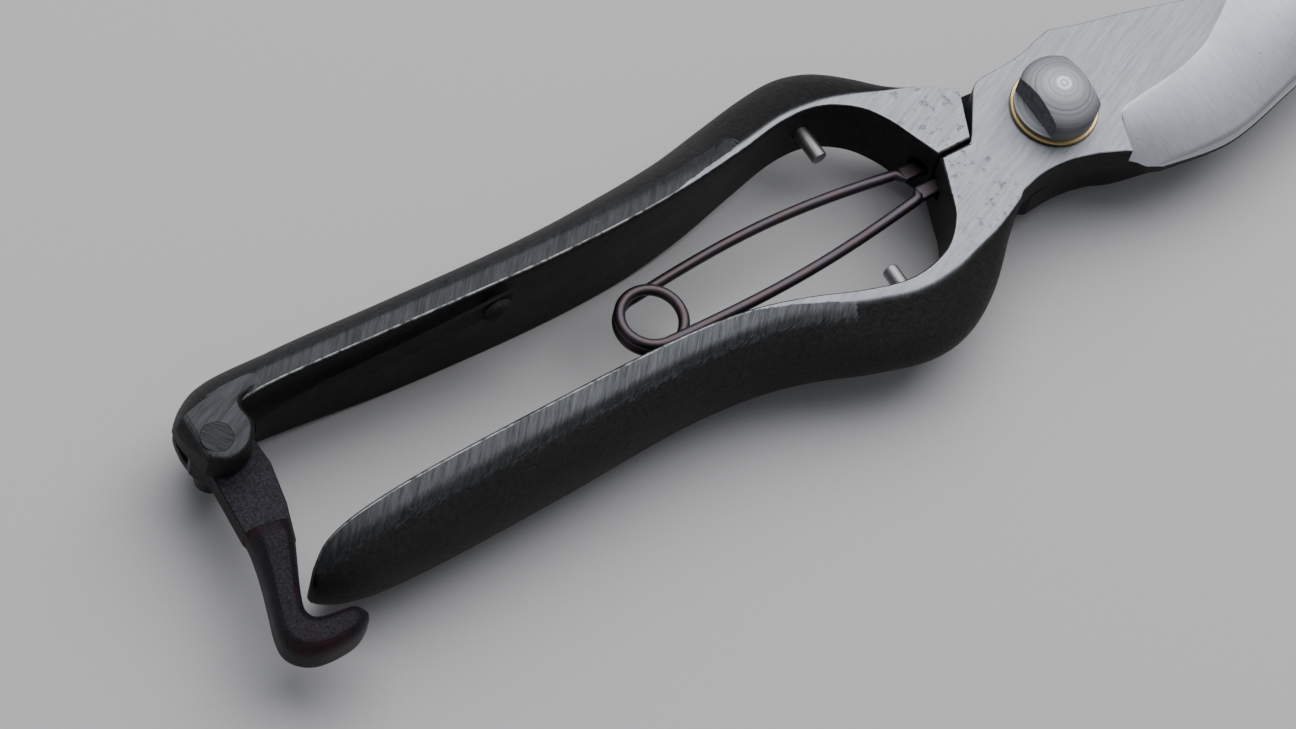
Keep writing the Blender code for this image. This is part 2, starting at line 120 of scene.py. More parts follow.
WIRE = 0.72
COIL = (-59.4, 0.9)
COIL_RADIUS = 4.05
COIL_PITCH = 1.62
COIL_TURNS = 1.5
COIL_STEP = 5  # degrees
COIL_SPLIT = 333  # angle along the coil, from 90 at its start, where its two halves meet
COIL_OVERLAP = 30  # angle over which the coil's two halves share the helix, degrees
COIL_TUCK = 0.02  # how much thinner the upper half is, so that its end hides in the lower half
LOWER_FOOT = (-17.5, -0.4)
UPPER_FOOT = (-17.5, 3.2)
UPPER_BOW = 1.7  # how far each leg bows outwards
LOWER_BOW = -1.2
FOOT_RISE = 0.4  # the lower foot is this far in front of the lap plane, the upper one behind it
# Sections of a flattened foot: reach past its pivot, half width, half height, and the power that squares it
FOOT_SECTIONS = [
    (1.6, 0.10, 0.15, 0.4),
    (0.8, 0.75, 0.38, 0.4),
    (0.5, 1.00, 0.42, 0.3),
    (-2.5, 1.00, 0.50, 0.3),
    (-2.6, 0.90, 0.60, 0.5),
    (-2.7, 0.72, 0.72, 1.0),
]
SOCKET_RADIUS = 1.5
SOCKET_OUT = 2.0  # how far the socket reaches from the foot's pivot towards the coil, and into the lever
SOCKET_IN = 3.0

PEG_RADIUS = 1.05
UPPER_PEG_X = -28.0
LOWER_PEG_X = -29.3
STUD = (-77.5, 10.3)
STUD_RISE = 5.2  # height of the leaf's rivet above the lap plane
STUD_SHANK = 0.9
STUD_HEAD = 1.9
STUD_RIM = 0.25
STUD_DOME = 0.95
STUD_SEAT = 1.2  # how far the head's seat stands out from the wall
LEAF_END_RISE = 0.5  # height of the leaf's free end above the lap plane
LEAF_HALF = 1.8
LEAF_THICK = 0.5

# Fineness and edge rounding of the shown shapes
SMOOTH_STEPS = 10
OVAL_STEPS = 20
ROUND_STEPS = 96
CORNER_STEPS = 4
EDGE = 0.3  # radius that an edge has been rubbed to
SOFT = 0.12  # chamfer on the washers' and the leaf's edges
WALL_DROP = 0.8  # how far the worn corner of a handle's inner wall reaches down it
RIDGE_ANGLE = 70  # where on its oval a handle's outer side starts, so that a ridge bounds the front band

# One row per control station of a handle: inner wall x, y, outer side x, y, width of front band, half depth
LOWER_STATIONS = [
    (-16.9, 1.0, -10.5, -8.4, 11.3, 5.0),
    (-18.3, -2.6, -13.8, -11.2, 8.4, 5.0),
    (-20.2, -6.9, -19.2, -16.0, 4.8, 5.0),
    (-24.0, -10.2, -25.0, -19.3, 2.7, 5.1),
    (-30.0, -11.5, -31.0, -20.2, 1.8, 5.5),
    (-36.5, -10.4, -38.5, -18.3, 1.5, 6.2),
    (-44.0, -8.2, -46.0, -15.3, 1.6, 7.2),
    (-52.5, -6.5, -53.5, -13.4, 2.1, 8.1),
    (-63.0, -5.8, -63.5, -12.7, 2.4, 8.5),
    (-80.0, -5.8, -80.0, -13.5, 2.4, 8.5),
    (-97.0, -6.1, -97.0, -14.0, 2.2, 8.2),
    (-106.5, -6.6, -106.3, -13.8, 2.0, 7.4),
    (-111.4, -7.4, -111.0, -13.1, 1.5, 6.0),
    (-113.9, -8.8, -113.5, -12.1, 0.9, 4.2),
    (-114.7, -9.6, -114.5, -11.4, 0.5, 3.0),
    (-115.0, -10.2, -114.9, -10.8, 0.3, 1.8),
]
UPPER_STATIONS = [
    (-16.9, 1.3, -13.2, 10.9, 10.1, 5.0),
    (-18.2, 4.8, -16.4, 14.4, 7.3, 5.0),
    (-19.6, 8.4, -19.6, 18.0, 4.6, 5.0),
    (-22.0, 11.7, -23.3, 20.8, 2.3, 5.0),
    (-26.2, 14.1, -27.6, 22.0, 0.9, 5.0),
    (-31.5, 14.4, -33.0, 21.6, 0.8, 5.2),
    (-38.5, 13.1, -40.0, 20.3, 0.9, 5.8),
    (-47.0, 11.5, -48.0, 18.7, 1.4, 7.2),
    (-57.0, 10.4, -57.5, 17.7, 2.0, 8.2),
    (-70.0, 10.2, -70.0, 17.1, 2.3, 8.5),
    (-88.0, 11.0, -88.0, 17.7, 2.2, 8.4),
    (-101.0, 12.0, -101.0, 18.5, 2.0, 7.6),
    (-108.0, 12.4, -108.0, 18.4, 2.2, 7.03),
    (-112.0, 12.4, -112.0, 17.4, 2.0, 6.0),
]

# One row per station of the latch's lever, from shoulder to nose: inner x, y, outer x, y, half depth
LATCH_STATIONS = [
    (-112.8, -1.9, -118.4, -0.9, 2.5),
    (-113.4, -3.9, -118.7, -3.3, 3.0),
    (-114.9, -7.0, -119.6, -6.8, 3.05),
    (-116.4, -10.0, -120.8, -10.4, 3.05),
    (-117.3, -12.2, -121.8, -13.4, 3.05),
    (-117.4, -13.2, -122.0, -15.6, 3.05),
    (-117.1, -13.9, -121.0, -17.4, 3.05),
    (-116.5, -14.3, -119.0, -18.6, 3.05),
    (-115.4, -14.6, -116.2, -18.9, 3.05),
    (-114.0, -14.8, -113.6, -18.6, 3.0),
    (-112.7, -15.0, -111.9, -17.7, 2.6),
    (-111.9, -15.4, -111.2, -16.9, 1.8),
    (-111.5, -15.8, -111.1, -16.3, 0.8),
]
SOFTNESS = 0.6  # power that squares up the lever's oval section

# Section map values round a handle: where its inner wall, front, outer side and rear start, and the end
WALL, FRONT, SIDE, REAR, CLOSED = 0, 1, 2, 3, 4
REAR_SPREAD = 0.01  # how fast the values rise round the wall's rear corner, per radian
WORN_START = 0.2  # how much before FRONT the wall's worn front corner starts
WORN_SPREAD = 0.1  # how fast the values rise round that one
BAND_START = 0.96  # value where the flat front band starts
GRIP_SAMPLE = (2, 6, 8)  # any band, width and half depth, as a section's values don't depend on them


# ---------------- shapes


def polar(centre, radius, degrees):
    angle = math.radians(degrees)
    return (centre[0] + radius * math.cos(angle), centre[1] + radius * math.sin(angle))


def arc(centre, radius, start, end, steps):
    """Points on an arc from one angle to another, both ends included, in degrees."""
    return [polar(centre, radius, start + (end - start) * step / steps) for step in range(steps + 1)]


def spline(a, b, c, d, t):
    """Catmull-Rom value a share t of the way from b to c, with a before them and d after."""
    return b + 0.5 * t * (c - a + t * (2 * a - 5 * b + 4 * c - d + t * (3 * b - a - 3 * c + d)))


def smooth(rows, steps):
    """A Catmull-Rom curve through rows of numbers, with `steps` rows made for each span."""
    made = []
    for index in range(len(rows) - 1):
        before = rows[max(index - 1, 0)]
        after = rows[min(index + 2, len(rows) - 1)]
        here, there = rows[index], rows[index + 1]
        for step in range(steps):
            around = zip(before, here, there, after)
            made.append(tuple(spline(*values, step / steps) for values in around))
    made.append(rows[-1])
    return made


def closed_mesh(rings, codes=None):
    """A closed mesh from rings of points, with a ring's section map values and one more to close it."""
    shape = bmesh.new()
    layer = shape.loops.layers.uv.new("section")
    loops = [[shape.verts.new(point) for point in ring] for ring in rings]
    count = len(rings[0])
    for here, there in zip(loops, loops[1:]):
        for i in range(count):
            j = (i + 1) % count
            face = shape.faces.new((here[i], here[j], there[j], there[i]))
            if codes:
                for corner, code in zip(face.loops, (codes[i], codes[i + 1], codes[i + 1], codes[i])):
                    corner[layer].uv = (code, 0)
    shape.faces.new(loops[0])
    shape.faces.new(loops[-1])
    return finished_mesh(shape)


def finished_mesh(shape):
    """The mesh of a closed shape, with its faces turned outwards."""
    bmesh.ops.recalc_face_normals(shape, faces=shape.faces)
    if shape.calc_volume(signed=True) < 0:
        bmesh.ops.reverse_faces(shape, faces=shape.faces)
    mesh = bpy.data.meshes.new("shape")
    shape.to_mesh(mesh)
    shape.free()
    return mesh


def inset(outline, amount):
    """The outline moved inwards by `amount`, corner by corner."""
    count = len(outline)
    area = sum(a[0] * b[1] - b[0] * a[1] for a, b in zip(outline, outline[1:] + outline[:1]))
    turn = math.copysign(1, area)
    moved = []
    for i, point in enumerate(outline):
        before = (Vector(point) - Vector(outline[i - 1])).normalized()
        after = (Vector(outline[(i + 1) % count]) - Vector(point)).normalized()
        bisector = Vector((-(before.y + after.y), before.x + after.x)) * turn
        reach = amount / max(0.35, bisector.length / 2)
        bisector.normalize()
        moved.append(tuple(Vector(point) + bisector * reach))
    return moved


def quarter_angles():
    return [math.radians(90 * step / CORNER_STEPS) for step in range(CORNER_STEPS + 1)]


def quarter(edge):
    """A quarter round from (edge, 0) to (0, edge), or a plain corner where the radius is 0."""
    if not edge:
        return [(0.0, 0.0)]
    return [(edge * (1 - math.sin(a)), edge * (1 - math.cos(a))) for a in quarter_angles()]


def prism(outline, low, high, low_edge=0.0, high_edge=0.0):
    """The plan outline between two heights, its rims rounded to the given radii."""
    levels = [(shift, low + rise) for shift, rise in quarter(low_edge)]
    levels += [(shift, high - drop) for drop, shift in quarter(high_edge)]
    return closed_mesh([[(x, y, z) for x, y in inset(outline, shift)] for shift, z in levels])


def round_ring(centre, radius, height):
    return [(*polar(centre, radius, 360 * step / ROUND_STEPS), height) for step in range(ROUND_STEPS)]


def turned(centre, profile):
    """A round body on a vertical axis, from (radius, height) pairs that start and end off the axis."""
    return closed_mesh([round_ring(centre, *pair) for pair in profile])


def post(centre, radius, low, high):
    """A plain round bar on a vertical axis."""
    return turned(centre, [(radius, low), (radius, high)])


def superellipse(angle, power):
    """Cosine and sine, squared up towards a rectangle as `power` falls from 1."""
    pair = (math.cos(angle), math.sin(angle))
    return [math.copysign(abs(value) ** power, value) for value in pair]


def tube(path, sections, sides=24):
    """A bar along a path, with a (half width, half height, power) section for each of its points."""
    rings = []
    for index, (point, (half_width, half_height, power)) in enumerate(zip(path, sections)):
        before = Vector(path[max(index - 1, 0)])
        after = Vector(path[min(index + 1, len(path) - 1)])
        along = (after - before).normalized()
        side = along.cross(Vector((0, 0, 1))).normalized()
        up = side.cross(along)
        ring = []
        for step in range(sides):
            across, rise = superellipse(2 * math.pi * step / sides, power)
            ring.append(Vector(point) + side * half_width * across + up * half_height * rise)
        rings.append(ring)
    return closed_mesh(rings)


def rod(start, end, radius):
    return tube([start, end], [(radius, radius, 1.0)] * 2)


def link(name, data):
    """A new object in the scene."""
    obj = bpy.data.objects.new(name, data)
    bpy.context.scene.collection.objects.link(obj)
    return obj


def link_mesh(name, mesh, finish):
    """A new object in the scene from a mesh made in millimetres."""
    mesh.transform(Matrix.Scale(MM, 4))
    mesh.materials.append(finish)
    mesh.shade_smooth()
    return link(name, mesh)


def show(node, mesh, finish, body):
    """Puts a piece into the scene, on its CAD body and in place of its CAD node."""
    obj = link_mesh(f"{node}_look", mesh, finish)
    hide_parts(node)
    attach(obj, body)
    return obj


def combine(obj, name, mesh, operation, finish, solver="EXACT"):
    """Joins a shape to an object, or cuts it out, and returns the hidden helper that does it."""
    made = link_mesh(f"{obj.name}_{name}", mesh, finish)
    made.hide_render = True
    made.display_type = "WIRE"
    if obj.parent:
        made.parent = obj.parent
        made.matrix_parent_inverse = obj.matrix_parent_inverse
    modifier = obj.modifiers.new(name, "BOOLEAN")
    modifier.operation = operation
    modifier.object = made
    modifier.solver = solver
    modifier.material_mode = "TRANSFER"
    return made


def cut(obj, name, mesh, finish, solver="EXACT"):
    combine(obj, name, mesh, "DIFFERENCE", finish, solver)


def sharp_edges(angle):
    """Geometry nodes that mark every edge with more than `angle` degrees between its faces as sharp."""
    group = bpy.data.node_groups.new(f"sharp_above_{angle}", "GeometryNodeTree")
    for way in ("INPUT", "OUTPUT"):
        group.interface.new_socket("Geometry", in_out=way, socket_type="NodeSocketGeometry")
    before = group.nodes.new("NodeGroupInput")
    after = group.nodes.new("NodeGroupOutput")
    between_faces = group.nodes.new("GeometryNodeInputMeshEdgeAngle")
    is_sharp = group.nodes.new("ShaderNodeMath")
    is_sharp.operation = "GREATER_THAN"
    is_sharp.inputs[1].default_value = math.radians(angle)
    mark = group.nodes.new("GeometryNodeSetShadeSmooth")
    mark.domain = "EDGE"
    mark.inputs["Shade Smooth"].default_value = False
    group.links.new(between_faces.outputs["Unsigned Angle"], is_sharp.inputs[0])
    group.links.new(before.outputs[0], mark.inputs["Geometry"])
    group.links.new(is_sharp.outputs[0], mark.inputs["Selection"])
    group.links.new(mark.outputs[0], after.inputs[0])
    return group


def finish_edges(obj, angle=30, rounding=0.0):
    """Rounds sharp edges where a radius is given, and shades smoothly over every edge below `angle`."""
    if rounding:
        bevel = obj.modifiers.new("rounding", "BEVEL")
        bevel.width = rounding * MM
        bevel.segments = 3
        bevel.limit_method = "ANGLE"
        bevel.angle_limit = math.radians(angle)
    sharpen = obj.modifiers.new("sharpen", "NODES")
    sharpen.node_group = sharp_edges(angle)
    weigh = obj.modifiers.new("weigh_normals", "WEIGHTED_NORMAL")
    weigh.keep_sharp = True
    weigh.weight = 100


# ---------------- levers


def oval_side(half):
    """The rounded outer side from its front ridge to its rear one: how far out, from 0 to 1, and height."""
    start = math.radians(RIDGE_ANGLE)
    points = []
    for step in range(OVAL_STEPS + 1):
        angle = start * (1 - 2 * step / OVAL_STEPS)
        out = (math.cos(angle) - math.cos(start)) / (1 - math.cos(start))
        points.append((out, half * math.sin(angle) / math.sin(start)))
    return points


def grip_section(band, width, half):
    """A handle's section as (reach from the inner wall, height, section map value)."""
    band = min(max(band, 2 * EDGE), width - GAP)
    points = []
    for a in quarter_angles():
        code = WALL + REAR_SPREAD * a
        points.append((EDGE * (1 - math.sin(a)), -half + EDGE * (1 - math.cos(a)), code))
    for a in quarter_angles():
        code = FRONT - WORN_START + WORN_SPREAD * a
        points.append((EDGE * (1 - math.cos(a)), half - WALL_DROP * (1 - math.sin(a)), code))
    bulge = width - band
    for step, (out, rise) in enumerate(oval_side(half)):
        points.append((band + bulge * out, rise, SIDE + step / OVAL_STEPS))
    return points


def grip_ring(inner_x, inner_y, outer_x, outer_y, band, half):
    inner = Vector((inner_x, inner_y))
    across = Vector((outer_x, outer_y)) - inner
    width = across.length
    across.normalize()
    return [(*(inner + across * reach), LAP_Z + rise) for reach, rise, _ in grip_section(band, width, half)]


def handle(first, stations):
    """A handle from its first, unsmoothed section through a row of smoothed ones."""
    rows = [first] + smooth(stations, SMOOTH_STEPS)
    codes = [code for _, _, code in grip_section(*GRIP_SAMPLE)] + [CLOSED]
    return closed_mesh([grip_ring(*row) for row in rows], codes)


def blade_outline():
    neck_top = [(-11.4, 1.9), (-7.7, 6.9), (-7.1, 7.5), (-6.4, 7.9), (-5.4, 8.1)]
    neck_top += smooth([(-2.3, 8.2), (1.1, 8.6), (4.0, 9.4), (5.9, 9.85)], 4) + [(6.4, 9.85)]
    spine = smooth([(10.1, 8.8), (17.0, 7.3), (24.2, 5.4), (34.0, 2.6), (45.0, -0.6), (55.0, -3.6)], 8)
    edge = smooth([(54.6, -4.1), (47.5, -6.2), (39.5, -8.6), (31.0, -10.9), (20.0, -13.2), (9.5, -12.2)], 10)
    heel = [(7.4, -11.4), (6.3, -10.5), (4.6, -9.5)]
    neck_low = smooth([(1.5, -8.2), (-2.5, -7.2), (-6.5, -7.1), (-10.0, -7.9)], 6)
    shoulder_top = [(-14.5, 0.2), (-12.2, 1.0)]
    shoulder_low = [(-12.6, -8.8), (-14.8, -4.5)]
    return shoulder_top + neck_top + spine + edge + heel + neck_low + shoulder_low


def grind():
    """What the hollow grind takes off the blade's front: a shallow hollow, then a narrow keen edge."""
    rows = [
        # x, where the hollow starts, cutting edge, height of the blade's front, lean towards the tail
        (7.2, -4.5, -11.0, 5.5, 0.34),
        (7.7, -3.5, -12.0, 5.3, 0.32),
        (9.2, -2.7, -12.4, 5.2, 0.27),
        (20.0, -1.3, -13.5, 5.12, 0.0),
        (31.0, 0.6, -11.2, 4.75, 0.0),
        (44.0, -2.0, -7.4, 3.5, 0.0),
        (57.0, -3.2, -4.0, 2.0, 0.0),
    ]
    steps = 16
    rings = []
    for x, hollow_y, edge_y, rise, lean in smooth(rows, 8):
        keen_width = min(KEEN_WIDTH, KEEN_SHARE * (hollow_y - edge_y), KEEN_GROWTH * (x - KEEN_START))
        keen_y = edge_y + keen_width
        back_z = LAP_Z + rise + BACK_SLOPE * (GRIND_REACH - hollow_y)
        section = [(GRIND_REACH, GRIND_TOP), (GRIND_REACH, back_z)]
        for step in range(steps + 1):
            t = step / steps
            height = rise + (EDGE_RISE + KEEN_RISE - rise) * t**HOLLOW_POWER
            section.append((hollow_y + (keen_y - hollow_y) * t, LAP_Z + height))
        past_y = edge_y - GRIND_OVERCUT
        section += [(edge_y, LAP_Z + EDGE_RISE), (past_y, LAP_Z + EDGE_RISE), (past_y, GRIND_TOP)]
        rings.append([(x + lean * min(0.0, y - hollow_y), y, z) for y, z in section])
    hollow, keen, rest = [0] * (steps + 2), [1] * 2, [0] * 3
    return closed_mesh(rings, hollow + keen + rest)


def peg_bore(x, y_from, y_to):
    return rod((x, y_from, LAP_Z), (x, y_to, LAP_Z), PEG_RADIUS + GAP / 2)


def socket(foot):
    x, y = foot
    return rod((x - SOCKET_OUT, y, LAP_Z), (x + SOCKET_IN, y, LAP_Z), SOCKET_RADIUS)


def bolt_bore():
    return post(PIVOT, SHANK_RADIUS + GAP, 0, TALL)


def cutting_lever(grip, plate, blade, dark):
    start = (-12.3, STOP_Y - GAP / 2, -9.6, -7.9, 9.3, PLATE)
    shape = handle(start, LOWER_STATIONS)
    obj = show("cutting_lever", shape, grip, "cutting_lever")
    lap_face = LAP_Z + GAP / 2
    combine(obj, "plate", prism(blade_outline(), lap_face, FRONT_Z, 0.0, PLATE_EDGE), "UNION", plate)
    cut(obj, "relief", post(PIVOT, LAP_RADIUS, -2, lap_face), plate)
    cut(obj, "grind", grind(), blade, "MANIFOLD")
    cut(obj, "bore", bolt_bore(), dark)
    cut(obj, "peg_bore", peg_bore(LOWER_PEG_X, -9.0, -14.5), dark)
    cut(obj, "socket", socket(LOWER_FOOT), dark)
    finish_edges(obj)


def hook_outline():
    root = [(-15.0, 1.8)] + arc((0, 0), LAP_RADIUS - 0.5, 173.5, 206, 12)
    neck = [(-7.0, -7.2), (-2.5, -6.9), (2.0, -7.5), (7.0, -9.1)]
    hook = [(20.0, -10.6), (34.0, -7.6), (47.5, -3.9)]
    inner = [(44.0, -2.4), (34.0, -3.4), (24.0, -4.2), (14.5, -2.4), (9.5, 2.0), (6.5, 6.5), (1.5, 8.4)]
    shoulder = [(-4.0, 8.8), (-9.5, 9.2), (-14.5, 11.5)]
    return root + smooth(neck + hook, 8) + smooth(inner, 8) + shoulder


def fork_outline():
    under = [(-104.0, 12.9), (-110.9, 12.7), (-111.3, 9.4), (-113.2, 6.9), (-116.2, 6.2), (-118.7, 7.6)]
    over = [(-119.3, 10.4), (-119.4, 13.4), (-118.2, 17.0), (-114.5, 20.0), (-104.0, 21.0)]
    return smooth(under, 6) + smooth(over, 6)


def fork_taper():
    """What is taken off the rear of the fork, so that it thins towards the tail."""
    curve = [(-103.0, -9.5), (-108.0, -7.8), (-112.0, -5.8), (-115.5, -4.0), (-118.2, -2.6), (-122.0, -0.6)]
    side = smooth(curve, 6) + [(-122.0, -12.0), (-103.0, -12.0)]
    return closed_mesh([[(x, y, LAP_Z + rise) for x, rise in side] for y in (0.0, 25.0)])


def fork_shell():
    """The grip's section carried on over the fork, so that its ridge and outer side run to the tail."""
    rows = [
        # x, ridge, outermost, half depth
        (-101.0, 14.0, 18.5, 7.05),
        (-110.0, 14.7, 18.8, 7.05),
        (-114.0, 14.6, 18.4, 7.05),
        (-116.5, 14.2, 17.2, 7.05),
        (-118.2, 13.8, 15.8, 6.9),
        (-119.1, 13.5, 14.8, 6.0),
        (-119.8, 13.2, 14.0, 3.5),
    ]
    rings = []
    for x, ridge_y, outer_y, half in smooth(rows, 8):
        section = [(FORK_SHELL_START, -half), (FORK_SHELL_START, half)]
        section += [(ridge_y + (outer_y - ridge_y) * out, rise) for out, rise in oval_side(half)]
        rings.append([(x, y, LAP_Z + rise) for y, rise in section])
    return closed_mesh(rings)


def slot_outline():
    """The slot that the latch's tang swings in: a curved inner end and two straight sides."""
    first, last = SLOT_SIDES
    far = polar(polar(RIVET, SLOT_REACH, first), SLOT_AWAY, first + 90)
    corner = polar(polar(RIVET, SLOT_REACH, last), SLOT_AWAY, last - 90)
    inner_end = arc(RIVET, SLOT_REACH, first, last, 16)
    return inner_end + [corner, (SLOT_END_X, corner[1]), (SLOT_END_X, far[1]), far]


def slot_heights():
    return LAP_Z + TANG_LOW - SLOT_GAP, LAP_Z + TANG_TOP + SLOT_GAP


def counter_lever(grip, plate, fork, dark):
    start = (-12.1, STOP_Y + GAP / 2, -8.9, 8.4, 7.4, PLATE)
    shape = handle(start, UPPER_STATIONS)
    obj = show("counter_lever", shape, grip, "counter_lever")
    combine(obj, "plate", prism(hook_outline(), REAR_Z, LAP_Z - GAP / 2, PLATE_EDGE, 0.0), "UNION", plate)
    slot_low, slot_high = slot_heights()
    shell = fork_shell()
    front_ear = prism(fork_outline(), slot_low, LAP_Z + FORK_TOP, 0.0, FORK_EDGE)
    rear_ear = prism(inset(fork_outline(), REAR_EAR_INSET), 0.0, slot_low + GAP, EDGE, 0.0)
    for name, ear in (("front_ear", front_ear), ("rear_ear", rear_ear)):
        made = combine(obj, name, ear, "UNION", fork, "MANIFOLD")
        combine(made, "shell", shell.copy(), "INTERSECT", fork, "MANIFOLD")
    cut(obj, "taper", fork_taper(), fork)
    cut(obj, "slot", prism(slot_outline(), slot_low, slot_high), dark)
    cut(obj, "rivet_bore", post(RIVET, RIVET_RADIUS + RIVET_SEAM, -2, TALL), dark)
    cut(obj, "bore", bolt_bore(), dark)
    cut(obj, "peg_bore", peg_bore(UPPER_PEG_X, 12.0, 17.0), dark)
    cut(obj, "socket", socket(UPPER_FOOT), dark)
    finish_edges(obj)


# ---------------- pivot


def pivot_bolt(steel):
    dome = []
    steps = 24
    for step in range(steps):
        share = 1 - step / steps
        height = HEAD_SEAT + HEAD_RIM + HEAD_RISE * (1 - share**2)
        dome.append(((HEAD_RADIUS - HEAD_CHAMFER) * share, height))
    rim = [(HEAD_RADIUS, HEAD_SEAT), (HEAD_RADIUS, HEAD_SEAT + HEAD_RIM - HEAD_CHAMFER)]
    shank = [(SHANK_RADIUS - SHANK_CHAMFER, 0), (SHANK_RADIUS, SHANK_CHAMFER), (SHANK_RADIUS, HEAD_SEAT)]
    mesh = turned(PIVOT, shank + rim + dome)
    obj = show("pivot_bolt", mesh, steel, "cutting_lever")
    for side in (1, -1):
        near, far = side * HEAD_FLAT, side * 2 * HEAD_RADIUS
        outline = [(near, -8), (far, -8), (far, 8), (near, 8)]
        flat = prism(outline, HEAD_SEAT + HEAD_LEDGE, HEAD_SEAT + 10)
        cut(obj, f"flat_{side}", flat, steel)
    finish_edges(obj, 25, 0.05)


def washer(node, low, finish):
    inner, outer, high = SHANK_RADIUS + WASHER_GAP, WASHER_RADIUS, low + WASHER_THICK
    rim = [(outer - SOFT, low), (outer, low + SOFT), (outer, high - SOFT), (outer - SOFT, high)]
    finish_edges(show(node, ring_mesh([(inner, low)] + rim + [(inner, high)]), finish, "cutting_lever"))


def ring_mesh(profile):
    """A ring round the pivot axis, from a closed (radius, height) section."""
    shape = bmesh.new()
    loops = []
    for step in range(ROUND_STEPS):
        angle = 360 * step / ROUND_STEPS
        loops.append([shape.verts.new((*polar(PIVOT, radius, angle), z)) for radius, z in profile])
    count = len(profile)
    for here, there in zip(loops, loops[1:] + loops[:1]):
        for i in range(count):
            j = (i + 1) % count
            shape.faces.new((here[i], here[j], there[j], there[i]))
    return finished_mesh(shape)


def pivot_nut(steel):
    outline = []
    for angle in range(0, 360, 60):
        centre = polar(PIVOT, NUT_CORNER - NUT_SOFT, angle)
        outline += arc(centre, NUT_SOFT, angle - 30, angle + 30, 4)
    mesh = prism(outline, 0, NUT_HEIGHT, 0.35, 0.2)
    obj = show("pivot_nut", mesh, steel, "cutting_lever")
    cut(obj, "hole", post(PIVOT, SHANK_RADIUS + 0.05, -1, 5), steel)
    finish_edges(obj)


# ---------------- springs, latch and small pieces


def coil_point(degrees):
    turns = (degrees - 90) / 360
    height = LAP_Z + COIL_PITCH * (turns - COIL_TURNS / 2)
    return (*polar(COIL, COIL_RADIUS, degrees), height)


def coil_run(start, end):
    count = round(abs(end - start) / COIL_STEP)
    return [coil_point(start + (end - start) * i / count) for i in range(count + 1)]


def spring_half(node, foot, leg_bow, leg_height, turns, wire, finish):
    """A leg from its flattened, pointed foot to the coil, and that leg's share of the turns."""
    start = Vector((*foot, leg_height))
    path = [start + Vector((reach, 0, 0)) for reach, *_ in FOOT_SECTIONS]
    sections = [tuple(section) for _, *section in FOOT_SECTIONS]
    leg_start_x = path[-1].x - 0.2
    steps = 60
    for step in range(steps):
        t = (step + 0.5) / steps
        bow = Vector((0, leg_bow * math.sin(math.pi * t), 0))
        point = start.lerp(Vector(turns[0]), t) + bow
        if point.x < leg_start_x:
            path.append(point)
    path += turns
    sections += [(wire, wire, 1.0)] * (len(path) - len(sections))
    finish_edges(show(node, tube(path, sections), finish, node), 50)


def v_spring(finish):
    upper_turns = coil_run(90, COIL_SPLIT + COIL_OVERLAP / 2)
    lower_turns = coil_run(90 + 360 * COIL_TURNS, COIL_SPLIT - COIL_OVERLAP / 2)
    thin = WIRE - COIL_TUCK
    spring_half("spring_lower_leg", LOWER_FOOT, LOWER_BOW, LAP_Z + FOOT_RISE, lower_turns, WIRE, finish)
    spring_half("spring_upper_leg", UPPER_FOOT, UPPER_BOW, LAP_Z - FOOT_RISE, upper_turns, thin, finish)


def soft_ring(inner, outer, depth):
    """A section with full, soft corners between two plan points, for the latch's cast-looking lever."""
    middle = (Vector(inner) + Vector(outer)) / 2
    across = (Vector(outer) - Vector(inner)) / 2
    centre_z = LAP_Z + (LEVER_LOW + LEVER_TOP) / 2
    ring = []
    for step in range(ROUND_STEPS // 2):
        reach, rise = superellipse(4 * math.pi * step / ROUND_STEPS, SOFTNESS)
        ring.append((*(middle + across * reach), centre_z + depth * rise))
    return ring


def latch(finish):
    head = [polar(RIVET, 5.3, angle) for angle in (8, 15, 22)] + arc(RIVET, 2.9, 60, 170, 20)
    root = [(-117.9, 7.2), (-118.5, -1.0), (-118.0, -3.0), (-113.6, -4.5)]
    tang = [(-112.0, 0.2), (-110.9, 5.6)] + head + root
    rings = []
    for inner_x, inner_y, outer_x, outer_y, depth in smooth(LATCH_STATIONS, 6):
        rings.append(soft_ring((inner_x, inner_y), (outer_x, outer_y), depth))
    obj = show("latch", closed_mesh(rings), finish, "latch")
    combine(obj, "tang", prism(tang, LAP_Z + TANG_LOW, LAP_Z + TANG_TOP, 0.2, 0.2), "UNION", finish)
    cut(obj, "bore", post(RIVET, RIVET_WAIST + 0.1, 0, TALL), finish)
    finish_edges(obj)


def latch_rivet(finish):
    """The latch's rivet: flush in the fork's ears, and waisted where the tang turns on it."""
    low, high, soft = LAP_Z - RIVET_DEPTH, LAP_Z + FORK_TOP, 0.04
    waist_low, waist_high = slot_heights()
    profile = [(RIVET_RADIUS - soft, low), (RIVET_RADIUS, low + soft), (RIVET_RADIUS, waist_low)]
    profile += [(RIVET_WAIST, waist_low), (RIVET_WAIST, waist_high), (RIVET_RADIUS, waist_high)]
    profile += [(RIVET_RADIUS, high - soft), (RIVET_RADIUS - soft, high)]
    finish_edges(show("latch_rivet", turned(RIVET, profile), finish, "counter_lever"))


def wall_peg(node, x, base_y, end_y, finish, body):
    """A peg that stands out of a handle's inner wall, with a rounded end."""
    sign = math.copysign(1, base_y - end_y)
    stations = ((base_y, 1.0), (end_y + 0.3 * sign, 1.0), (end_y + 0.1 * sign, 0.9), (end_y, 0.72))
    path = [(x, y, LAP_Z) for y, _ in stations]
    sections = [(PEG_RADIUS * share, PEG_RADIUS * share, 1.0) for _, share in stations]
    finish_edges(show(node, tube(path, sections), finish, body))


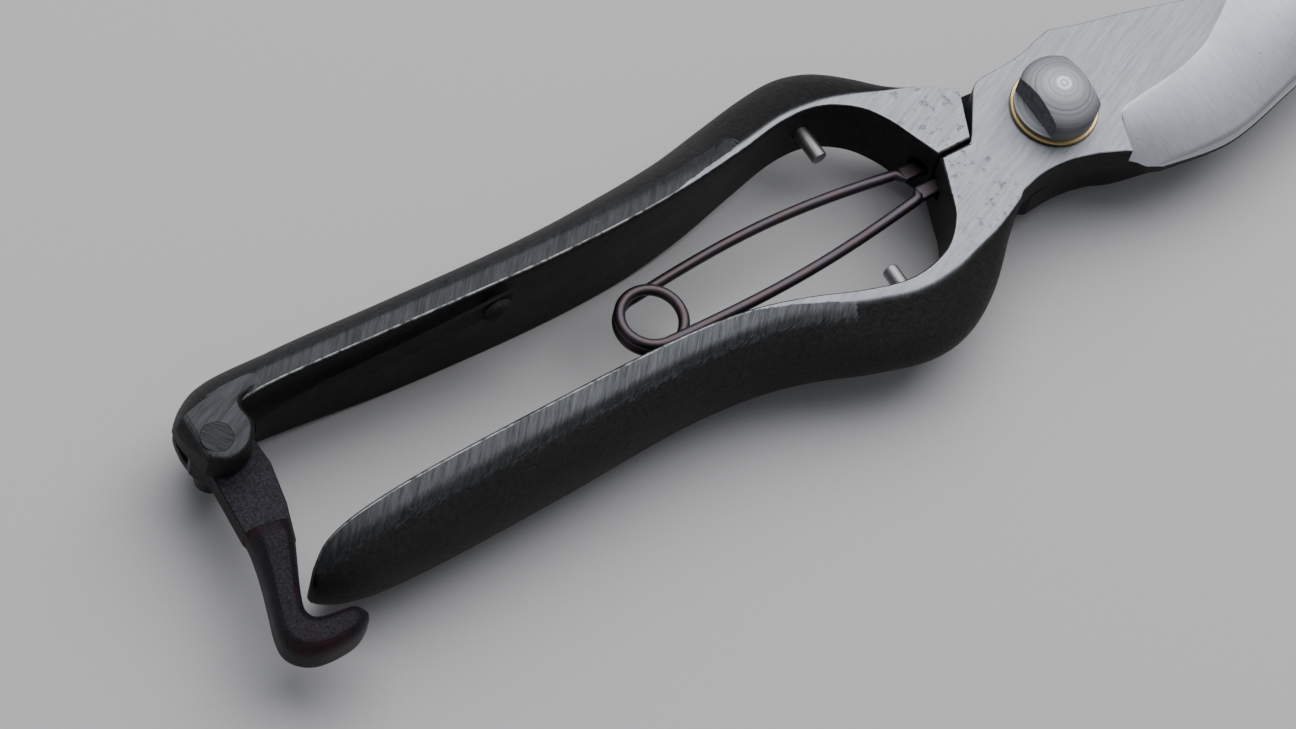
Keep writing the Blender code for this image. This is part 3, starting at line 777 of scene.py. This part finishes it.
def leaf_spring(finish):
    """The leaf along the upper handle's inner wall, from its rivet down to the latch's tang."""
    line = [(-75.0, 9.9), (-80.0, 10.0), (-90.0, 10.6), (-100.0, 11.3), (-107.5, 11.4), (-110.0, 10.9)]
    rings = []
    for x, y in smooth(line, SMOOTH_STEPS):
        share = max(0.0, (STUD[0] - x) / (STUD[0] - line[-1][0]))
        middle = LAP_Z + STUD_RISE + (LEAF_END_RISE - STUD_RISE) * share
        low, high = middle - LEAF_HALF, middle + LEAF_HALF
        back = y - LEAF_THICK
        front_side = [(y, low + SOFT), (y, high - SOFT), (y - SOFT, high)]
        back_side = [(back + SOFT, high), (back, high - SOFT), (back, low + SOFT), (back + SOFT, low)]
        ring = front_side + back_side + [(y - SOFT, low)]
        rings.append([(x, across, z) for across, z in ring])
    finish_edges(show("latch_leaf_spring", closed_mesh(rings), finish, "counter_lever"))


def leaf_rivet(finish):
    """The round-headed rivet that holds the leaf against the wall."""
    profile = [(STUD_SHANK, -4.0), (STUD_SHANK, 0.0), (STUD_HEAD, 0.0), (STUD_HEAD, STUD_RIM)]
    for degrees in range(10, 100, 10):
        angle = math.radians(degrees)
        profile.append((STUD_HEAD * math.cos(angle), STUD_RIM + STUD_DOME * math.sin(angle)))
    seat_y = STUD[1] - STUD_SEAT
    sides = 48
    rings = []
    for radius, rise in profile:
        ring = arc((STUD[0], LAP_Z + STUD_RISE), radius, 0, 360 - 360 / sides, sides - 1)
        rings.append([(x, seat_y - rise, z) for x, z in ring])
    finish_edges(show("leaf_spring_rivet", closed_mesh(rings), finish, "counter_lever"), 40)


# ---------------- materials


SHEEN = 0.28  # how strongly whatever isn't bare metal reflects
SCALE_METALLIC = 0.25
OXIDE_METALLIC = 0.6
RIVET_METALLIC = 0.9
GRIND_DEPTH = 0.05  # depth of the grinding lines, millimetres
SCALE_DEPTH = 13.0  # depth of the forge scale's grain against that of the grinding lines
OXIDE_DEPTH = 0.36  # depth of the oxide's grain, millimetres
FINE_DEPTH = 0.02  # depth of drawn and turned marks
SCRATCH_DEPTH = 0.05  # depth of the scratches on the rivet's end
GRIND_TURN = -23  # the grinding lines run 23 degrees up from the tool's length
DULL_TURN = -48  # those on the handles' dull bands run further round, nearly across them
HOLLOW_TURN = 78  # those in the hollow run across the blade
PEG_TURN = 90  # those on the pegs run along them
SCRATCH_TURN = 52  # direction of the scratches on the latch's rivet
BRIGHT_X = -48.0  # the front band is bare steel from here to the neck
BRIGHT_SLANT = 11.0  # how much nearer the neck that starts on the band's outer edge
STAIN = 0.10  # how strongly scale stains the bare band near the neck
FRINGE = 0.16  # how far the band's ragged edge spills over the ridge, as a section map value
UPPER_Y = 1.0  # the upper handle lies above this, and the lower one below its negative
DULL_START_X = -65.0  # the lower handle gets duller from here to the tail
DULL_END_X = -105.0
SWIRL_RADIUS = 0.75  # radius of the bright ring round the centre of the bolt's head

PALE_STEEL = (0.237, 0.247, 0.273, 1)
GREY_STEEL = (0.146, 0.152, 0.168, 1)
STEEL_SPECK = (0.10, 0.10, 0.11, 1)
HOLLOW_PALE = (0.365, 0.383, 0.425, 1)
HOLLOW_DARK = (0.285, 0.30, 0.332, 1)
KEEN_STEEL = (0.68, 0.69, 0.71, 1)
WORN_STEEL = (0.20, 0.203, 0.207, 1)
SCALE_PALE = (0.020, 0.020, 0.021, 1)
SCALE_DARK = (0.004, 0.004, 0.004, 1)
# pale specks on the scale: partly worn-through scale, partly painted glints
SCALE_RUBBED_AND_GLINT = (0.22, 0.22, 0.21, 1)
DULL_PALE = (0.082, 0.087, 0.096, 1)
DULL_DARK = (0.022, 0.024, 0.024, 1)
TAIL_PALE = (0.046, 0.048, 0.053, 1)  # the upper handle and its fork are duller still
TAIL_DARK = (0.017, 0.018, 0.019, 1)
BORE_PALE = (0.03, 0.03, 0.03, 1)
BORE_DARK = (0.01, 0.01, 0.01, 1)
OXIDE_PALE = (0.019, 0.014, 0.019, 1)
OXIDE_DARK = (0.004, 0.003, 0.004, 1)
OXIDE_WINE = (0.022, 0.007, 0.010, 1)
# grey of the tang's flats, also used as a painted highlight on the lever's flats
OXIDE_FLAT_AND_HIGHLIGHT_PALE = (0.062, 0.060, 0.074, 1)
OXIDE_FLAT_AND_HIGHLIGHT_DARK = (0.022, 0.021, 0.027, 1)
WIRE_BROWN = (0.070, 0.052, 0.056, 1)
WIRE_PURPLE = (0.060, 0.053, 0.066, 1)
WIRE_PALE = (0.105, 0.090, 0.098, 1)
TURNED_PALE = (0.38, 0.39, 0.42, 1)
TURNED_DARK = (0.21, 0.216, 0.235, 1)
TURNED_CENTRE = (0.60, 0.61, 0.63, 1)
# painted shade on the sides of the turned pieces
TURNED_SIDE_SHADE = (0.03, 0.03, 0.032, 1)
BRASS_PALE = (0.62, 0.50, 0.26, 1)
BRASS_DARK = (0.42, 0.32, 0.14, 1)
PEG_PALE = (0.30, 0.30, 0.305, 1)
PEG_DARK = (0.17, 0.175, 0.18, 1)
RIVET_PALE = (0.030, 0.032, 0.034, 1)
RIVET_DARK = (0.011, 0.012, 0.013, 1)
FLOOR_PALE = (0.46, 0.46, 0.47, 1)
FLOOR_DARK = (0.42, 0.42, 0.43, 1)


def add(tree, kind, settings=None, **inputs):
    """A shader node with its settings, and its inputs set to values or joined to other nodes' sockets."""
    node = tree.nodes.new(kind)
    for key, value in (settings or {}).items():
        setattr(node, key, value)
    for key, value in inputs.items():
        connect(tree, value, node.inputs[key.replace("_", " ")])
    return node


def connect(tree, value, target):
    if isinstance(value, bpy.types.NodeSocket):
        tree.links.new(value, target)
    else:
        target.default_value = value


def calc(tree, operation, first, second=0.0):
    node = add(tree, "ShaderNodeMath", {"operation": operation})
    connect(tree, first, node.inputs[0])
    connect(tree, second, node.inputs[1])
    return node.outputs[0]


def times(tree, first, second):
    return calc(tree, "MULTIPLY", first, second)


def plus(tree, first, second):
    return calc(tree, "ADD", first, second)


def minus(tree, first, second):
    return calc(tree, "SUBTRACT", first, second)


def distance(tree, value, middle):
    return calc(tree, "ABSOLUTE", minus(tree, value, middle))


def axes(tree, vector=None):
    """The x, y and z of a vector, or else of the place in millimetres."""
    place = millimetres(tree) if vector is None else vector
    return add(tree, "ShaderNodeSeparateXYZ", Vector=place).outputs


def spread(tree, value, low, high):
    """A value mapped smoothly from the range between low and high to 0 to 1, and held at its ends."""
    inputs = {"Value": value, "From_Min": low, "From_Max": high}
    return add(tree, "ShaderNodeMapRange", {"interpolation_type": "SMOOTHSTEP"}, **inputs).outputs[0]


def blend(tree, kind, places, values):
    """A mix node, its share and its two values put into the inputs that its kind has for them."""
    node = add(tree, "ShaderNodeMix", {"data_type": kind})
    for place, value in zip(places, values):
        connect(tree, value, node.inputs[place])
    return node


def blend_colour(tree, share, first, second):
    return blend(tree, "RGBA", (0, 6, 7), (share, first, second)).outputs[2]


def blend_value(tree, share, first, second):
    return blend(tree, "FLOAT", (0, 2, 3), (share, first, second)).outputs[0]


def millimetres(tree, stretch=(1, 1, 1), turn=0.0):
    """Object coordinates in millimetres, turned about Z and stretched along the turned axes."""
    coords = add(tree, "ShaderNodeTexCoord").outputs["Object"]
    rotation = (0, 0, math.radians(turn))
    along = add(tree, "ShaderNodeMapping", Vector=coords, Rotation=rotation).outputs[0]
    scale = tuple(amount / MM for amount in stretch)
    return add(tree, "ShaderNodeMapping", Vector=along, Scale=scale).outputs[0]


def section_code(tree):
    """The section map's value, which says where round its section a point lies."""
    return axes(tree, add(tree, "ShaderNodeUVMap", {"uv_map": "section"}).outputs[0])[0]


def noise(tree, vector, scale, detail, roughness=0.6):
    inputs = {"Vector": vector, "Scale": scale, "Detail": detail, "Roughness": roughness}
    return add(tree, "ShaderNodeTexNoise", **inputs).outputs[0]


def even_noise(tree, scale, detail, roughness=0.6):
    """Noise that is no longer in one direction than in another, with `scale` in features per millimetre."""
    return noise(tree, millimetres(tree), scale, detail, roughness)


def new_material(name):
    made = bpy.data.materials.new(name)
    made.use_nodes = True
    return made, made.node_tree


def with_look(made, look, depth=GRIND_DEPTH):
    """The material with a look (colour, roughness, height, metal), its height as a bump of `depth` mm."""
    tree = made.node_tree
    shader = tree.nodes["Principled BSDF"]
    colour, rough, height, metallic = look
    connect(tree, colour, shader.inputs["Base Color"])
    connect(tree, rough, shader.inputs["Roughness"])
    connect(tree, metallic, shader.inputs["Metallic"])
    shader.inputs["Specular IOR Level"].default_value = SHEEN
    bump = add(tree, "ShaderNodeBump", Height=height, Distance=depth * MM, Strength=1.0)
    connect(tree, bump.outputs[0], shader.inputs["Normal"])
    return made


def mix_looks(tree, share, first, second):
    """One look where share is 0 and the other where it is 1."""
    values = (blend_value(tree, share, *pair) for pair in zip(first[1:], second[1:]))
    return (blend_colour(tree, share, first[0], second[0]), *values)


def ground_look(tree, turn, pale, dark, rough=0.46, lines=1.0):
    """Bare steel with fine grinding lines at `turn` degrees from the tool's length, and small dark specks."""
    coarse = noise(tree, millimetres(tree, (0.15, 2.4, 1.0), turn), 1.0, 3.0)
    fine = noise(tree, millimetres(tree, (0.6, 12.0, 3.0), turn), 1.0, 5.0, 0.7)
    cloud = even_noise(tree, 0.12, 3.0)
    both = plus(tree, times(tree, coarse, 0.45), times(tree, fine, 0.55))
    colour = blend_colour(tree, spread(tree, both, 0.3, 0.7), dark, pale)
    speck = spread(tree, even_noise(tree, 1.6, 2.0), 0.70, 0.78)
    colour = blend_colour(tree, times(tree, speck, 0.55), colour, STEEL_SPECK)
    wander = blend_value(tree, cloud, rough - 0.07, rough + 0.07)
    wander = plus(tree, wander, times(tree, speck, 0.1))
    return colour, wander, times(tree, both, lines), 1.0


def forge_look(tree, pale, dark, rough=0.48):
    """Blue-black forge scale: fine grain, soft clouding and small pale specks, which stand for worn-through
    scale and for painted glints.
    """
    grain = even_noise(tree, 1.7, 8.0, 0.75)
    cloud = noise(tree, millimetres(tree, (0.6, 1.0, 1.0)), 0.22, 4.0)
    pit = spread(tree, even_noise(tree, 1.1, 3.0), 0.62, 0.74)
    colour = blend_colour(tree, spread(tree, grain, 0.35, 0.7), dark, pale)
    colour = blend_colour(tree, times(tree, cloud, 0.4), colour, dark)
    # pale specks: worn-through scale, and painted glints where light catches the grain
    rubbed_specks_and_glints = spread(tree, even_noise(tree, 2.3, 2.0), 0.72, 0.80)
    colour = blend_colour(tree, times(tree, rubbed_specks_and_glints, 0.5), colour, SCALE_RUBBED_AND_GLINT)
    wander = blend_value(tree, cloud, rough - 0.08, rough + 0.10)
    height = times(tree, minus(tree, grain, times(tree, pit, 0.5)), SCALE_DEPTH)
    return colour, wander, height, SCALE_METALLIC


def upward(tree):
    """How much a surface faces the tool's front or rear, from 0 to 1."""
    return calc(tree, "ABSOLUTE", axes(tree, add(tree, "ShaderNodeTexCoord").outputs["Normal"])[2])


def plate_material():
    """The lapped plates: bright where ground, forge scale on their narrow sides, and forge scale on their
    faces by the lap plane near the neck, partly real scale and partly painted shade under the neck.
    """
    made, tree = new_material("lapped_plate")
    ground = ground_look(tree, GRIND_TURN, PALE_STEEL, GREY_STEEL)
    scale = forge_look(tree, SCALE_PALE, SCALE_DARK)
    x, _, z = axes(tree)
    # faces by the lap plane, short of the blade, get forge scale: partly real scale, partly painted shade
    # under the neck
    off_lap = spread(tree, distance(tree, z, LAP_Z), 1.0, 1.6)
    outer_face = calc(tree, "MAXIMUM", off_lap, spread(tree, x, 5.0, 9.0))
    share = times(tree, spread(tree, upward(tree), 0.45, 0.8), outer_face)
    return with_look(made, mix_looks(tree, share, scale, ground))


def blade_material():
    """The hollow-ground blade, smoother than the plate round it."""
    made, tree = new_material("hollow_ground_blade")
    look = ground_look(tree, HOLLOW_TURN, HOLLOW_PALE, HOLLOW_DARK, lines=0.5)
    code = section_code(tree)
    keen = (KEEN_STEEL, 0.34, look[2], 1.0)
    return with_look(made, mix_looks(tree, spread(tree, code, 0.8, 1.0), look, keen))


def grip_material():
    """A handle: forge scale, with flat bands that are bright at the neck and darken along the grips."""
    made, tree = new_material("forged_grip")
    code = section_code(tree)
    x, y, _ = axes(tree)
    upper = spread(tree, y, -UPPER_Y, UPPER_Y)
    tailward = times(tree, spread(tree, x, DULL_START_X, DULL_END_X), 0.6)
    duller = calc(tree, "MAXIMUM", upper, tailward)

    scale = forge_look(tree, SCALE_PALE, SCALE_DARK)
    bright = ground_look(tree, GRIND_TURN, PALE_STEEL, GREY_STEEL)
    dull_pale = blend_colour(tree, duller, DULL_PALE, TAIL_PALE)
    dull_dark = blend_colour(tree, duller, DULL_DARK, TAIL_DARK)
    dull = ground_look(tree, DULL_TURN, dull_pale, dull_dark, 0.48)

    ragged = even_noise(tree, 0.9, 4.0)
    across = times(tree, minus(tree, code, BAND_START), BRIGHT_SLANT)
    reach = plus(tree, minus(tree, x, across), times(tree, ragged, 6.0))
    near_neck = spread(tree, reach, BRIGHT_X - 0.8, BRIGHT_X + 0.8)
    stain = spread(tree, even_noise(tree, 0.75, 6.0, 0.7), 0.56, 0.68)
    stain = times(tree, stain, spread(tree, x, -26.0, -15.0))
    bright = mix_looks(tree, times(tree, stain, STAIN), bright, scale)
    on_band = spread(tree, code, SIDE + 0.02, SIDE - 0.02)
    band = mix_looks(tree, times(tree, near_neck, on_band), dull, bright)
    fringe = noise(tree, millimetres(tree, (0.5, 3.0, 1.0), GRIND_TURN), 1.0, 4.0)
    spill = times(tree, minus(tree, 1.0, near_neck), times(tree, fringe, FRINGE))
    past_ridge = minus(tree, code, spill)
    front = spread(tree, code, BAND_START, BAND_START + 0.01)
    front = times(tree, front, spread(tree, past_ridge, SIDE + 0.04, SIDE))
    rear = spread(tree, code, REAR - 0.04, REAR)
    look = mix_looks(tree, calc(tree, "MAXIMUM", front, rear), scale, band)

    rub = spread(tree, distance(tree, code, BAND_START + 0.03), 0.09, 0.04)
    worn = (WORN_STEEL, 0.36, look[2], 1.0)
    share = times(tree, rub, spread(tree, ragged, 0.35, 0.6))
    return with_look(made, mix_looks(tree, times(tree, share, 0.8), look, worn))


def fork_material():
    """The latch fork: dull ground front with lines across it, forge scale on its sides."""
    made, tree = new_material("latch_fork")
    scale = forge_look(tree, SCALE_PALE, SCALE_DARK)
    dull = ground_look(tree, GRIND_TURN, TAIL_PALE, TAIL_DARK)
    share = spread(tree, upward(tree), 0.80, 0.97)
    return with_look(made, mix_looks(tree, share, scale, dull))


def dark_material():
    made, tree = new_material("bore_wall")
    return with_look(made, forge_look(tree, BORE_PALE, BORE_DARK, 0.7))


def oxide_material():
    """The latch: plum-brown oxide, greyer on its flat faces: the tang's own grey, and a painted highlight on
    the lever's flat faces.
    """
    made, tree = new_material("plum_oxide")
    grain = even_noise(tree, 3.0, 6.0, 0.75)
    cloud = even_noise(tree, 0.3, 4.0)
    pitted = spread(tree, grain, 0.38, 0.66)
    body = blend_colour(tree, pitted, OXIDE_DARK, OXIDE_PALE)
    wine = blend_colour(tree, spread(tree, cloud, 0.48, 0.68), body, OXIDE_WINE)
    flat = blend_colour(tree, pitted, OXIDE_FLAT_AND_HIGHLIGHT_DARK, OXIDE_FLAT_AND_HIGHLIGHT_PALE)
    z = axes(tree)[2]
    tang = spread(tree, z, LAP_Z + TANG_TOP + 0.1, LAP_Z + TANG_TOP)
    # on the tang this grey is its own colour; on the lever's flat faces it is a painted highlight
    flat_grey_and_highlight = times(tree, spread(tree, upward(tree), 0.93, 0.99), blend_value(tree, tang, 0.65, 1.0))
    colour = blend_colour(tree, flat_grey_and_highlight, wine, flat)
    rough = blend_value(tree, upward(tree), 0.38, 0.52)
    return with_look(made, (colour, rough, grain, OXIDE_METALLIC), OXIDE_DEPTH)


def wire_material():
    """Tempered spring steel, brown to purple, with drawing lines along it."""
    made, tree = new_material("tempered_wire")
    lines = noise(tree, millimetres(tree, (0.2, 5.0, 5.0)), 1.0, 4.0)
    cloud = even_noise(tree, 0.35, 3.0)
    colour = blend_colour(tree, spread(tree, cloud, 0.4, 0.6), WIRE_BROWN, WIRE_PURPLE)
    colour = blend_colour(tree, times(tree, lines, 0.3), colour, WIRE_PALE)
    rough = blend_value(tree, lines, 0.38, 0.52)
    return with_look(made, (colour, rough, lines, 1.0), FINE_DEPTH)


def turned_material(name, pale, dark, rough):
    """Metal turned on the pivot axis: rings of fine tool marks that close in on a bright centre, and painted
    shade on the faces that turn away from the front and rear.
    """
    made, tree = new_material(name)
    x, y, z = axes(tree)
    radius = calc(tree, "SQRT", plus(tree, calc(tree, "POWER", x, 2.0), calc(tree, "POWER", y, 2.0)))
    ring = add(tree, "ShaderNodeCombineXYZ", X=radius, Y=0.0, Z=times(tree, z, 0.2)).outputs[0]
    marks = noise(tree, ring, 5.0, 4.0, 0.7)
    broad = noise(tree, ring, 2.5, 2.0)
    both = plus(tree, times(tree, marks, 0.6), times(tree, broad, 0.4))
    smudge = even_noise(tree, 0.8, 4.0)
    colour = blend_colour(tree, spread(tree, both, 0.35, 0.65), dark, pale)
    swirl = spread(tree, distance(tree, radius, SWIRL_RADIUS), 0.30, 0.10)
    pip = calc(tree, "MAXIMUM", swirl, spread(tree, radius, 0.40, 0.15))
    colour = blend_colour(tree, times(tree, pip, 0.7), colour, TURNED_CENTRE)
    # painted shade: the sides are darker than the faces that look to the front and rear
    shade = blend_colour(tree, 0.42, colour, TURNED_SIDE_SHADE)
    colour = blend_colour(tree, spread(tree, upward(tree), 0.55, 0.80), shade, colour)
    worn = blend_value(tree, smudge, rough - 0.06, rough + 0.08)
    height = plus(tree, both, times(tree, even_noise(tree, 7.0, 4.0), 0.8))
    return with_look(made, (colour, worn, height, 1.0), FINE_DEPTH)


def peg_material():
    made, tree = new_material("drawn_steel")
    return with_look(made, ground_look(tree, PEG_TURN, PEG_PALE, PEG_DARK))


def rivet_material():
    """A rivet's flush, scratched end."""
    made, tree = new_material("flush_rivet")
    scratches = noise(tree, millimetres(tree, (0.4, 7.0, 1.0), SCRATCH_TURN), 1.0, 5.0, 0.7)
    grain = even_noise(tree, 4.0, 6.0)
    colour = blend_colour(tree, spread(tree, scratches, 0.35, 0.65), RIVET_DARK, RIVET_PALE)
    rough = blend_value(tree, grain, 0.34, 0.5)
    height = plus(tree, scratches, grain)
    return with_look(made, (colour, rough, height, RIVET_METALLIC), SCRATCH_DEPTH)


# ---------------- setting


CAMERA_POSITION = (-291.1, -202.2, 525.5)  # in the part's frame, as are its two directions
CAMERA_RIGHT = Vector((0.8241, -0.5450, 0.1544))
CAMERA_UP = Vector((0.4195, 0.7704, 0.4802))
CAMERA_LENS = 137.8
SENSOR_WIDTH = 36.0
FLOOR_REACH = 3.0  # metres, like the key light's place and size
SKY_COLOUR = (0.95, 0.97, 1.0, 1.0)
SKY_STRENGTH = 0.32
KEY_POSITION = (0.32, 0.32, 0.80)
KEY_AIM = (-0.04, 0.0, 0.0)
KEY_SIZE = (1.3, 1.1)
KEY_POWER = 17.0


def camera():
    data = bpy.data.cameras.new("camera")
    data.lens = CAMERA_LENS
    data.sensor_width = SENSOR_WIDTH
    data.clip_start = 0.01
    obj = link("camera", data)
    right = CAMERA_RIGHT.normalized()
    back = right.cross(CAMERA_UP).normalized()
    up = back.cross(right)
    turn = Matrix((right, up, back)).transposed().to_4x4()
    obj.matrix_world = Matrix.Translation(Vector(CAMERA_POSITION) * MM) @ turn
    bpy.context.scene.camera = obj


def floor():
    """The pale card that the tool lies on."""
    mesh = bpy.data.meshes.new("floor")
    corners = [(x * FLOOR_REACH, y * FLOOR_REACH, 0) for x, y in ((-1, -1), (1, -1), (1, 1), (-1, 1))]
    mesh.from_pydata(corners, [], [(0, 1, 2, 3)])
    made, tree = new_material("floor_card")
    fibre = even_noise(tree, 1.2, 5.0)
    colour = blend_colour(tree, fibre, FLOOR_DARK, FLOOR_PALE)
    mesh.materials.append(with_look(made, (colour, 0.85, fibre, 0.0), FINE_DEPTH))
    link("floor", mesh)


def sky():
    world = bpy.data.worlds.new("studio")
    world.use_nodes = True
    background = world.node_tree.nodes["Background"]
    background.inputs["Color"].default_value = SKY_COLOUR
    background.inputs["Strength"].default_value = SKY_STRENGTH
    bpy.context.scene.world = world


def key_light():
    data = bpy.data.lights.new("key", "AREA")
    data.shape = "RECTANGLE"
    data.size, data.size_y = KEY_SIZE
    data.energy = KEY_POWER
    obj = link("key", data)
    obj.location = KEY_POSITION
    obj.rotation_euler = (Vector(KEY_AIM) - Vector(KEY_POSITION)).to_track_quat("-Z", "Y").to_euler()


def main():
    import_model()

    grip = grip_material()
    plate = plate_material()
    dark = dark_material()
    wire = wire_material()
    steel = turned_material("turned_steel", TURNED_PALE, TURNED_DARK, 0.56)
    brass = turned_material("turned_brass", BRASS_PALE, BRASS_DARK, 0.34)
    rivet = rivet_material()
    peg = peg_material()

    cutting_lever(grip, plate, blade_material(), dark)
    counter_lever(grip, plate, fork_material(), dark)
    pivot_bolt(steel)
    washer("front_washer", FRONT_Z + GAP / 2, brass)
    washer("rear_washer", NUT_HEIGHT + GAP / 2, steel)
    pivot_nut(steel)
    v_spring(wire)
    latch(oxide_material())
    latch_rivet(rivet)
    wall_peg("upper_peg", UPPER_PEG_X, 16.7, 9.9, peg, "counter_lever")
    wall_peg("lower_peg", LOWER_PEG_X, -14.2, -7.2, peg, "cutting_lever")
    leaf_spring(dark)
    leaf_rivet(dark)

    camera()
    floor()
    sky()
    key_light()


main()
